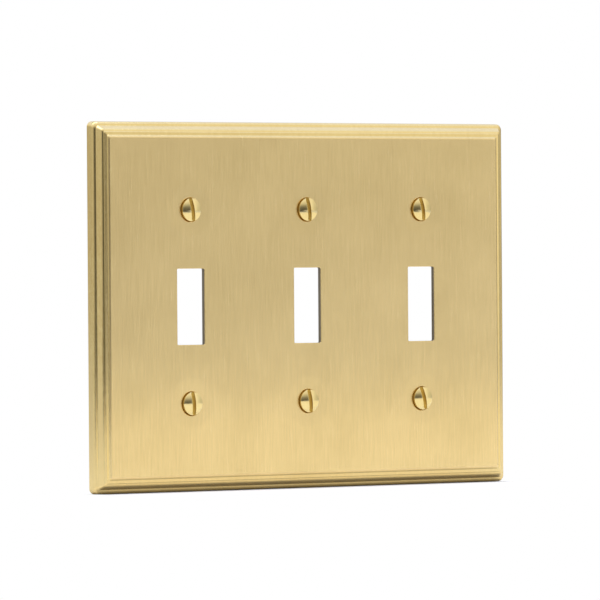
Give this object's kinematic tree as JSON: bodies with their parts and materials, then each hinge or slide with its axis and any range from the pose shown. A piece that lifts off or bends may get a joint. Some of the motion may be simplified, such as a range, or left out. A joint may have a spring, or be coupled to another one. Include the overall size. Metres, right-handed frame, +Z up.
{
  "type": "triple toggle switch wall plate",
  "caption": "Brushed brass wall plate with a moulded border and three openings for toggle switch levers, held by slotted oval-head brass screws in pressed dimples.",
  "frame": {"origin": "centre of the wall plane, the plane of the rim at the plate's open back", "axes": "+X across the plate to the right seen from the front, +Y into the wall, +Z up; the face looks towards -Y"},
  "size_m": [0.1642, 0.0168, 0.1152],
  "materials": {
    "satin_brass": "brushed vertically, satin, lacquered",
    "polished_brass": "polished"
  },
  "bodies": {
    "root": {"plate": "satin_brass", "screw_upper_1": "polished_brass", "screw_upper_2": "polished_brass", "screw_upper_3": "polished_brass", "screw_lower_1": "polished_brass", "screw_lower_2": "polished_brass", "screw_lower_3": "polished_brass"}
  },
  "joints": []
}
